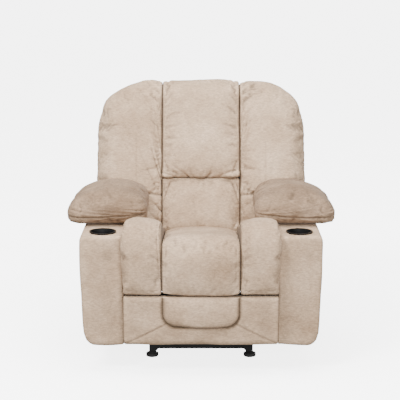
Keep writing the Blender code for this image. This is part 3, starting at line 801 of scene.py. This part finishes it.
def build_bolster(side_name, sign, index):
    """The roll between the seat and an arm; only its front is wider than the gap between them."""
    inner, outer = SEAT_HALF + 0.0005, BOLSTER_OUTER
    # Behind the fronts of the arms a bolster keeps clear of them.
    beside_arm, arm_front = 0.2872, Y0 - 0.452
    ring = rounded(from_plane([
        (0.040, 0.352, 0.01), (0.036, 0.446, 0.02), (-0.060, 0.478, 0.06), (-0.200, 0.515, 0.08),
        (-0.320, 0.560, 0.08), (-0.400, 0.574, 0.05), (-0.462, 0.560, 0.05), (-0.494, 0.505, 0.06),
        (-0.500, 0.420, 0.07), (-0.494, 0.340, 0.05), (-0.484, 0.308, 0.016), (-0.460, 0.306, 0.008),
        (-0.458, 0.350, 0.008),
    ]), 230)
    spine = [(Y0 + 0.000, 0.400), (Y0 - 0.300, 0.455), (Y0 - 0.430, 0.480), (Y0 - 0.468, 0.440),
             (Y0 - 0.470, 0.330)]

    def inset(w, ring):
        """Full rolls over the top and front, square corners at the hem."""
        hem = smoothstep(0.318, 0.375, ring[:, 1])
        roll = max(seam_edge(w - inner, 0.014, 0.012), round_end(outer - w, 0.038))
        tight = max(round_end(w - inner, 0.006), round_end(outer - w, 0.010))
        rear = smoothstep(Y0 - 0.120, Y0 - 0.020, ring[:, 0])
        return (tight + (roll - tight) * hem) * (1 - 0.85 * rear)
    bolster = loft(f"bolster_{side_name}", lambda w: ring, lambda w: spine,
                   stations(inner, outer, 0.018, 0.040, 0.006), inset)
    co = coords(bolster)
    tuck = 0.93 + 0.07 * smoothstep(0.300, 0.440, co[:, 2])
    front = smoothstep(Y0 - 0.40, Y0 - 0.45, co[:, 1])
    co[:, 0] = inner + (co[:, 0] - inner) * (1 - front * (1 - tuck))
    co[:, 0] = np.minimum(co[:, 0], np.where(co[:, 1] < arm_front, 0.300, beside_arm))
    set_coords(bolster, co)

    def hidden(co):
        flank = np.maximum(smoothstep(0.012, 0.004, co[:, 0] - inner),
                           (co[:, 0] > 0.280) * (co[:, 1] > arm_front))
        return np.maximum(np.maximum(seat_hidden(co), flank), smoothstep(0.322, 0.312, co[:, 2]))
    upholster(bolster, hidden, 0.012, 0.04)

    def folds(co, no):
        side = co[:, 0] - inner
        run = co[:, 2] - co[:, 1]
        free = smoothstep(beside_arm, 0.275, co[:, 0]) + smoothstep(Y0 - 0.45, Y0 - 0.46, co[:, 1])
        puckers = 0.0160 * gathers(run, side, 0.032, 0.024, 63 + index)
        return (softness(co, 61 + index, 0.09, 0.0040) + puckers) * np.clip(free, 0, 1)
    push(bolster, folds)
    if sign < 0:
        mirror(bolster)

    # Painted shade along the inner seam and the hem, and a painted shadow line on the outer flank beside the
    # arm.
    def sewn(co):
        x = np.abs(co[:, 0])
        return np.maximum.reduce([near_seam(x - inner), near_seam(co[:, 2] - HEM_Z, 0.008),
                                  0.8 * near_seam(outer + 0.001 - x, 0.007)])
    finish_piece(bolster, "base", PLUSH, f"seat_bolster_{side_name}", sewn=sewn)


def build_seat():
    build_seat_centre()
    for index, (side_name, sign) in enumerate(SIDES):
        build_bolster(side_name, sign, index)


# ------------------------------------------------------------------ footrest

PANEL_HALF = 0.288
PANEL_TOP_Z = 0.304
# The seams that mitre its lower corners run from under the pocket to the corners.
MITRE_X, PANEL_CORNER_X = 0.128, 0.285
PANEL_LOW_Z = 0.118
# The pocket sewn on the middle of the footrest: its lower edge, half width and corner radius.
POCKET_LOW_Z, POCKET_TOP_Z = 0.190, 0.303
POCKET_HALF, POCKET_CORNER = 0.141, 0.050


def pocket_line(co, width):
    """1 on the outline of the pocket, 0 away from it."""
    x, z = np.abs(co[:, 0]), co[:, 2]
    reach = np.hypot(np.maximum(x - POCKET_HALF + POCKET_CORNER, 0), np.maximum(POCKET_LOW_Z + 0.047 - z, 0))
    return line_at(reach - POCKET_CORNER, width) * (z < 0.300)


def build_panel():
    ring = rounded(from_plane([
        (-0.459, 0.119, 0.004), (-0.474, 0.115, 0.010), (-0.488, 0.130, 0.02), (-0.492, 0.205, 0.05),
        (-0.489, 0.292, 0.02), (-0.480, 0.304, 0.010), (-0.459, 0.302, 0.004),
    ]), 130)
    spine = [(Y0 - 0.470, 0.135), (Y0 - 0.470, 0.285)]
    panel = loft("footrest_panel", lambda w: ring, lambda w: spine,
                 stations(-PANEL_HALF, PANEL_HALF, 0.020, 0.020, 0.005),
                 lambda w, ring: round_end(PANEL_HALF - abs(w), 0.011))

    def folds(co, no):
        """A mitre seam from each lower corner to the pocket, and a groove round the pocket."""
        front = (no[:, 1] < -0.3)
        x, z = np.abs(co[:, 0]), co[:, 2]
        t = (x - MITRE_X) / (PANEL_CORNER_X - MITRE_X)
        line = POCKET_LOW_Z + 0.010 + t * (PANEL_LOW_Z - POCKET_LOW_Z - 0.010)
        off = np.abs(z - line) * math.cos(math.atan2(POCKET_LOW_Z - PANEL_LOW_Z, PANEL_CORNER_X - MITRE_X))
        mitre = line_at(off, 0.0028) * smoothstep(-0.05, 0.02, t)
        pull = 0.005 * gathers(x, off, 0.022, 0.014, 71) * smoothstep(-0.05, 0.05, t)
        pull = pull + 0.004 * gathers(co[:, 0], 0.300 - z, 0.026, 0.012, 73)
        groove = 0.0036 * mitre + 0.0060 * pocket_line(co, 0.006)
        return front * (softness(co, 72, 0.09, 0.0030) - groove + pull)
    push(panel, folds)

    # Painted shade along the sides, the top edge and round the pocket.
    def sewn(co):
        return np.maximum.reduce([near_seam(PANEL_HALF - np.abs(co[:, 0]), 0.004),
                                  near_seam(PANEL_TOP_Z - co[:, 2], 0.006), pocket_line(co, 0.008)])
    finish_piece(panel, "footrest", PLUSH, "footrest_pad", sewn=sewn)


def build_pocket():
    """A crowned patch as two sheets on one grid, joined round the rim."""
    columns, rows = 72, 34
    corner_depth, corner_width = 0.056, 0.052
    front, back = [], []
    for v in np.sin(np.linspace(-1, 1, rows) * math.pi / 2):
        z = (POCKET_TOP_Z + POCKET_LOW_Z) / 2 + v * (POCKET_TOP_Z - POCKET_LOW_Z) / 2
        low = max(0.0, -v)
        for u in np.sin(np.linspace(-1, 1, columns) * math.pi / 2):
            corner = max(0.0, (POCKET_LOW_Z + corner_depth - z) / corner_depth)
            edge = POCKET_HALF - corner_width * (1 - math.sqrt(max(0.0, 1 - min(1.0, corner) ** 2)))
            px = u * edge
            pz = z - 0.004 * math.sin(px * 26 + 0.8) * low ** 2 - 0.005 * (1 - u * u) * low
            swell = (max(0.0, 1 - abs(u) ** 4)) ** 0.5 * (max(0.0, 1 - abs(v) ** 3.2)) ** 0.5
            front.append((px, Y0 - 0.4895 - 0.0240 * swell, pz))
            back.append((px, Y0 - 0.4860 + 0.004 * swell, pz))
    faces = []
    sheet = columns * rows
    for j in range(rows - 1):
        for i in range(columns - 1):
            a = j * columns + i
            faces.append((a, a + 1, a + columns + 1, a + columns))
            faces.append((sheet + a, sheet + a + columns, sheet + a + columns + 1, sheet + a + 1))
    rim = list(range(columns))
    rim += [j * columns + columns - 1 for j in range(1, rows)]
    rim += [(rows - 1) * columns + i for i in range(columns - 2, -1, -1)]
    rim += [j * columns for j in range(rows - 2, 0, -1)]
    for a, b in zip(rim, rim[1:] + rim[:1]):
        faces.append((a, a + sheet, b + sheet, b))
    flap = closed_mesh("footrest_flap", front + back, faces)

    def folds(co, no):
        hem = 0.0060 * gathers(co[:, 0], co[:, 2] - POCKET_LOW_Z, 0.024, 0.012, 76)
        return (no[:, 1] < 0) * (softness(co, 75, 0.07, 0.0018) + hem)
    push(flap, folds)
    # Painted shade round the pocket's outline.
    finish_piece(flap, "footrest", PLUSH, "footrest_tongue", sewn=lambda co: pocket_line(co, 0.008))


# ------------------------------------------------------------------ arms

ARM_INNER, ARM_OUTER = 0.2884, 0.4500
ARM_TOP_Z = 0.519
ARM_MID_X = 0.37
CUP_LOW, CUP_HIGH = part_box("cup_holder_left")
CUP = ((CUP_LOW[0] + CUP_HIGH[0]) / 2, (CUP_LOW[1] + CUP_HIGH[1]) / 2)
WELL_RADIUS = 0.0468
BEZEL_LIP = 0.0075


def cut(obj, name, fill, location, scale=(1.0, 1.0, 1.0)):
    """Cuts a solid out of an object; fill(bm) makes the solid about its own origin."""
    bm = bmesh.new()
    fill(bm)
    mesh = bpy.data.meshes.new(name)
    bm.to_mesh(mesh)
    bm.free()
    cutter = bpy.data.objects.new(name, mesh)
    cutter.location = location
    cutter.scale = scale
    bpy.context.scene.collection.objects.link(cutter)
    bpy.context.view_layer.update()
    mod = obj.modifiers.new("cut", "BOOLEAN")
    mod.operation = "DIFFERENCE"
    mod.solver = "EXACT"
    mod.object = cutter
    bake(obj)
    bpy.data.objects.remove(cutter, do_unlink=True)


def cut_well(obj):
    """The round hole that the cup holder stands in."""
    def fill(bm):
        bmesh.ops.create_cone(bm, cap_ends=True, segments=64, depth=0.10,
                              radius1=WELL_RADIUS, radius2=WELL_RADIUS)
    cut(obj, "well", fill, (CUP[0], CUP[1], ARM_TOP_Z - 0.05 + 0.028))


def cut_recess(obj):
    """The hole behind the bezel of the release handle."""
    low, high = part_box("handle_bezel")
    size = ((high[0] - low[0]) + 0.02, (high[1] - low[1]) - 2 * BEZEL_LIP, (high[2] - low[2]) - 2 * BEZEL_LIP)
    centre = ((high[0] + low[0]) / 2 - 0.0095, (high[1] + low[1]) / 2, (high[2] + low[2]) / 2)
    cut(obj, "recess", lambda bm: bmesh.ops.create_cube(bm, size=1.0), centre, size)


def build_arm(side_name, sign, index):
    def ring_at(w):
        low = 0.100 + round_end(ARM_OUTER - w, 0.050)
        return rounded(from_plane([
            (-0.440, low, 0.022), (0.300, low, 0.022), (0.300, 0.400, 0.040), (0.130, ARM_TOP_Z, 0.040),
            (-0.440, ARM_TOP_Z, 0.012)]), 250)
    spine = [(Y0 - 0.400, 0.300), (Y0 + 0.240, 0.300)]
    arm = loft(f"arm_{side_name}", ring_at, lambda w: spine,
               stations(ARM_INNER, ARM_OUTER, 0.020, 0.024, 0.008),
               lambda w, ring: max(round_end(w - ARM_INNER, 0.008), round_end(ARM_OUTER - w, 0.014)))
    co = coords(arm)
    x = co[:, 0]
    taper = 0.010 * smoothstep(0.40, 0.10, co[:, 2]) * (x - ARM_MID_X) / 0.08
    co[:, 0] = np.where(x > ARM_MID_X, x - taper, x)
    set_coords(arm, co)

    def folds(co, no):
        top = (no[:, 2] > 0.6)
        face = (no[:, 1] < -0.5)
        near_cup = line_at(np.hypot(co[:, 0] - CUP[0], co[:, 1] - CUP[1]) - 0.052, 0.014)
        crown = 0.006 * np.clip(1 - ((co[:, 0] - ARM_MID_X) / 0.085) ** 2, 0, 1) * face
        seam = line_at(co[:, 2] - 0.497, 0.0022) * face
        soft = softness(co, 81 + index, 0.11, 0.0030) * (~top) * (no[:, 0] > -0.5)
        return soft + crown - 0.0014 * near_cup * top - 0.0020 * seam
    push(arm, folds)
    cut_well(arm)
    if sign < 0:
        mirror(arm)
        cut_recess(arm)
    finish_piece(arm, "base", PLUSH, f"arm_cover_{side_name}", f"arm_board_{side_name}", fill=0.8)


def build_pad(side_name, sign, index):
    """The pillow on an arm, with a gusset seam round its front."""
    y_front, y_rear = Y0 - 0.272, Y0 + 0.030
    low_z, mid_x = 0.52, 0.36
    ring = rounded([
        (0.236, 0.522, 0.025), (0.350, 0.520, 0.05), (0.482, 0.521, 0.03), (0.509, 0.538, 0.026),
        (0.512, 0.575, 0.03), (0.482, 0.612, 0.06), (0.400, 0.644, 0.07), (0.300, 0.648, 0.07),
        (0.228, 0.624, 0.05), (0.207, 0.586, 0.04), (0.213, 0.543, 0.028),
    ], 170)
    spine = [(0.270, 0.588), (0.450, 0.578)]

    def place(w, pts):
        """Rings stand across Y, and lean with the back towards the rear."""
        shear = (pts[:, 1] - low_z) * math.tan(LEAN) * smoothstep(y_front + 0.10, y_rear, np.array(w))
        return np.column_stack([pts[:, 0], w + shear, pts[:, 1]])
    pad = loft(f"arm_pillow_{side_name}", lambda w: ring, lambda w: spine,
               stations(y_front, y_rear, 0.060, 0.02, 0.006),
               lambda w, ring: max(round_end(w - y_front, 0.060), round_end(y_rear - w, 0.014)), place)

    def hidden(co):
        low = smoothstep(0.532, 0.526, co[:, 2])
        rear = smoothstep(0.050, 0.030, -(co[:, 1] - y_rear - (co[:, 2] - low_z) * math.tan(LEAN)))
        return np.maximum(low, rear)
    upholster(pad, hidden, 0.014, 0.06)

    def folds(co, no):
        x, y, z = co.T
        off = z - (0.556 - 0.04 * (x - mid_x) + 0.30 * (x - mid_x) ** 2)
        ahead = smoothstep(y_front + 0.085, y_front + 0.03, y)
        groove = -0.0060 * line_at(off, 0.0035) * ahead
        fan = (x - mid_x) * 3.0
        pucker = 0.030 * gathers(x, np.abs(off), 0.026, 0.030, 91 + index, -fan * np.sign(off)) * ahead
        over = 0.0050 * gathers(y, np.abs(off) * 0.6, 0.020, 0.030, 95 + index) * smoothstep(0.46, 0.50, x)
        top_seam = line_at(y - y_front - 0.115 - 0.30 * (z - 0.60), 0.0035) * smoothstep(0.585, 0.60, z)
        relief = softness(co, 97 + index, 0.09, 0.0050) + groove + pucker + over - 0.0035 * top_seam
        return relief * smoothstep(0.525, 0.545, z)
    push(pad, folds)
    if sign < 0:
        mirror(pad)
    finish_piece(pad, "base", PLUSH_PAD_SHADED, f"arm_pad_{side_name}")


# ------------------------------------------------------------------ frame finishes

FINISHES = (
    (STEEL_BLACK, ("base_", "cross_tube", "side_plate", "back_bracket", "torque")),
    (ZINC, ("link_", "footrest_bracket", "handle_pin")),
    (RUBBER, ("foot_front", "foot_rear")),
    (PLASTIC, ("cup_holder", "handle_bezel", "release_handle")),
    (FELT, ("seat_deck", "back_support")),
    (WOOD, ("arm_mount", "seat_rail", "back_post", "back_rail", "footrest_board")),
)


def build_finishes():
    for mat, starts in FINISHES:
        for name in NODES:
            if name.startswith(starts):
                materials = NODES[name].data.materials
                materials.clear()
                materials.append(mat)


# ------------------------------------------------------------------ stage

# Just under the feet, so that the floor and their soles never share a plane.
FLOOR_Z = -0.0004


def glow_with_painted_shadow():
    """White that glows less near the chair, a painted shadow on the floor round it, and more farther off, so
    the rest of the backdrop stays an even white.
    """
    mat, tree, shader = nodes_of("studio_floor_painted_shadow")
    shader.inputs["Base Color"].default_value = (0.93, 0.93, 0.935, 1)
    shader.inputs["Roughness"].default_value = 0.9
    shader.inputs["Emission Color"].default_value = (1.0, 1.0, 1.0, 1)
    place = node(tree, "ShaderNodeTexCoord").outputs["Object"]
    reach = node(tree, "ShaderNodeVectorMath", operation="LENGTH")
    link(tree, place, reach.inputs[0])
    # Least glow under the chair: a painted shadow round its feet.
    painted_shadow_glow = map_range(tree, from_min=0.55, from_max=2.4, to_min=4.2, to_max=5.2)
    link(tree, reach.outputs["Value"], painted_shadow_glow.inputs["Value"])
    link(tree, painted_shadow_glow.outputs["Result"], shader.inputs["Emission Strength"])
    return mat


def build_backdrop():
    """A round bowl with a flat floor; it neither lights the chair nor shows in its gloss."""
    radius, curve, height, turns = 16.0, 3.0, 7.0, 64
    profile = [(0.0, 0.0), (1.5, 0.0), (4.0, 0.0), (radius - curve, 0.0)]
    for i in range(1, 13):
        angle = math.pi / 2 * i / 12
        profile.append((radius - curve + curve * math.sin(angle), curve - curve * math.cos(angle)))
    profile.append((radius, height))
    verts, faces = [(0.0, 0.0, FLOOR_Z)], []
    for r, z in profile[1:]:
        for k in range(turns):
            angle = 2 * math.pi * k / turns
            verts.append((r * math.cos(angle), r * math.sin(angle), z + FLOOR_Z))
    for k in range(turns):
        j = (k + 1) % turns
        faces.append((0, 1 + k, 1 + j))
        for row in range(len(profile) - 2):
            low, high = 1 + row * turns, 1 + (row + 1) * turns
            faces.append((low + k, high + k, high + j, low + j))
    mesh = bpy.data.meshes.new("backdrop")
    mesh.from_pydata(verts, [], faces)
    floor = bpy.data.objects.new("backdrop", mesh)
    for face in mesh.polygons:
        face.use_smooth = True
    mesh.materials.append(glow_with_painted_shadow())
    bpy.context.scene.collection.objects.link(floor)
    floor.visible_diffuse = False
    floor.visible_glossy = False


def area(name, location, target, size, power):
    """A rectangular lamp that faces a target."""
    data = bpy.data.lights.new(name, "AREA")
    data.shape = "RECTANGLE"
    data.size, data.size_y = size
    data.energy = power
    obj = bpy.data.objects.new(name, data)
    obj.location = location
    obj.rotation_euler = (Vector(target) - Vector(location)).to_track_quat("-Z", "Y").to_euler()
    bpy.context.scene.collection.objects.link(obj)


def build_lights():
    world = bpy.data.worlds.new("studio")
    bpy.context.scene.world = world
    world.use_nodes = True
    world.node_tree.nodes["Background"].inputs["Color"].default_value = (1.0, 0.995, 0.99, 1)
    world.node_tree.nodes["Background"].inputs["Strength"].default_value = 0.53
    area("key", (-1.9, -2.6, 3.4), (0.0, 0.0, 0.55), (1.3, 1.0), 225)
    area("front", (0.8, -4.6, 1.5), (0.0, 0.0, 0.45), (2.4, 1.6), 240)
    area("fill", (3.0, -3.0, 1.6), (0.0, 0.0, 0.5), (2.0, 2.0), 12)
    area("top", (0.0, -0.5, 3.6), (0.0, 0.0, 0.4), (3.0, 1.4), 165)


def build_camera():
    """Eye height, 5 m in front of the design plane, looking down a little."""
    camera_data = bpy.data.cameras.new("camera")
    camera_data.lens = 114.3
    camera_data.sensor_width = 36.0
    camera_data.shift_x = -0.0025
    camera = bpy.data.objects.new("camera", camera_data)
    camera.location = (0.0, Y0 - 5.0, 1.56)
    camera.rotation_euler = (math.radians(90 - 11.2), 0.0, 0.0)
    bpy.context.scene.collection.objects.link(camera)
    bpy.context.scene.camera = camera


build_backdrop()
build_lights()
build_camera()
build_back()
build_seat()
build_panel()
build_pocket()
for number, (arm_side, arm_sign) in enumerate(SIDES):
    build_arm(arm_side, arm_sign, number)
    build_pad(arm_side, arm_sign, number)
build_finishes()
